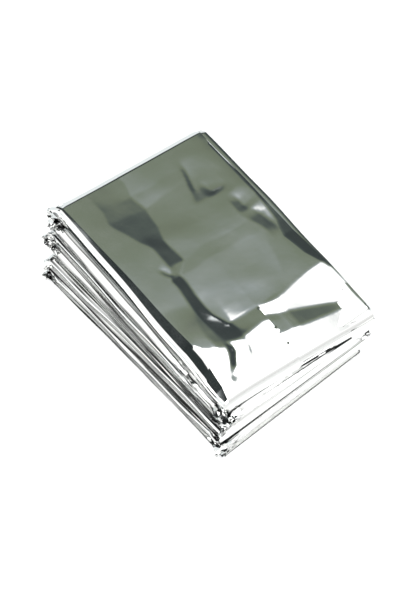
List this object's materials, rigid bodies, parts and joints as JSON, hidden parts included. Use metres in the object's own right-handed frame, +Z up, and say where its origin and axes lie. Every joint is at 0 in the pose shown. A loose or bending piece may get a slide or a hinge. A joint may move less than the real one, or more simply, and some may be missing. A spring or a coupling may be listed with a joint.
{
  "type": "emergency foil blanket",
  "caption": "Silver foil emergency blanket, pleated lengthwise into a strip and folded back and forth into a flat, slightly slewed pack.",
  "frame": {"origin": "middle of the pack's footprint, on the surface it lies on", "axes": "+Y along the strip's legs, from the end with the free ends to the other; +X across the strip; +Z up"},
  "size_m": [0.1003, 0.1392, 0.0439],
  "materials": {
    "film": "bright, mirror-like metallised polyester film with fine creases"
  },
  "bodies": {
    "root": {"blanket": "film"}
  },
  "joints": []
}
